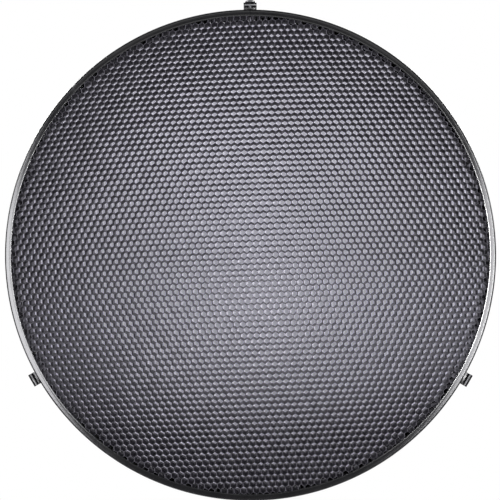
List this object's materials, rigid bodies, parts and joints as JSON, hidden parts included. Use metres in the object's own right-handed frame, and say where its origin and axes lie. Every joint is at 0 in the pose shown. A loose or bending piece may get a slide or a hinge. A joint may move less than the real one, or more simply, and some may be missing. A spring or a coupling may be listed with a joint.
{
  "type": "honeycomb grid",
  "caption": "Round black honeycomb light grid in a rolled channel ring, with hook brackets for a dish reflector's rim and a radial lock screw.",
  "frame": {"origin": "Centre of the plane that the reflector's rim seats on, on the ring's axis.", "axes": "+Y is the ring's axis, pointing away from the reflector, so the mounting side faces -Y. +Z points to the lock screw, and +X is to the right seen from the mounting side."},
  "size_m": [0.52, 0.0321, 0.531],
  "materials": {
    "ring_black": "satin black powder coat on rolled steel",
    "foil_black": "semi-gloss black lacquer on aluminium foil",
    "splice_black": "satin black",
    "bracket_black": "satin black powder coat",
    "rivet_black": "black, slightly glossy",
    "mandrel_steel": "bare broken steel",
    "screw_black": "glossy black oxide",
    "pad_nylon": "matte black nylon"
  },
  "bodies": {
    "grid": {"ring_channel": "ring_black", "honeycomb_core": "foil_black", "splice_plate": "splice_black", "bracket_top": "bracket_black", "bracket_lower_left": "bracket_black", "bracket_lower_right": "bracket_black", "bracket_top_rivet_a": "rivet_black", "bracket_top_rivet_b": "rivet_black", "bracket_lower_left_rivet_a": "rivet_black", "bracket_lower_left_rivet_b": "rivet_black", "bracket_lower_right_rivet_a": "rivet_black", "bracket_lower_right_rivet_b": "rivet_black", "splice_rivet_left": "rivet_black", "splice_rivet_right": "rivet_black", "bracket_top_rivet_a_mandrel": "mandrel_steel", "bracket_top_rivet_b_mandrel": "mandrel_steel", "bracket_lower_left_rivet_a_mandrel": "mandrel_steel", "bracket_lower_left_rivet_b_mandrel": "mandrel_steel", "bracket_lower_right_rivet_a_mandrel": "mandrel_steel", "bracket_lower_right_rivet_b_mandrel": "mandrel_steel", "splice_rivet_left_mandrel": "mandrel_steel", "splice_rivet_right_mandrel": "mandrel_steel"},
    "pad": {"lock_screw_pad": "pad_nylon"},
    "screw": {"lock_screw": "screw_black"}
  },
  "joints": [
    {"name": "lock_screw_travel", "type": "slide", "parent": "grid", "child": "pad", "axis": [0, 0, 1], "range_m": [0, 0.0018]},
    {"name": "lock_screw_turn", "type": "hinge", "parent": "pad", "child": "screw", "pos_m": [0, -0.0042, 0.264], "axis": [0, 0, 1], "range_deg": [0, 810]}
  ],
  "couplings": [
    {"joint": "lock_screw_turn", "follows": "lock_screw_travel", "rad_per_m": 7854}
  ]
}
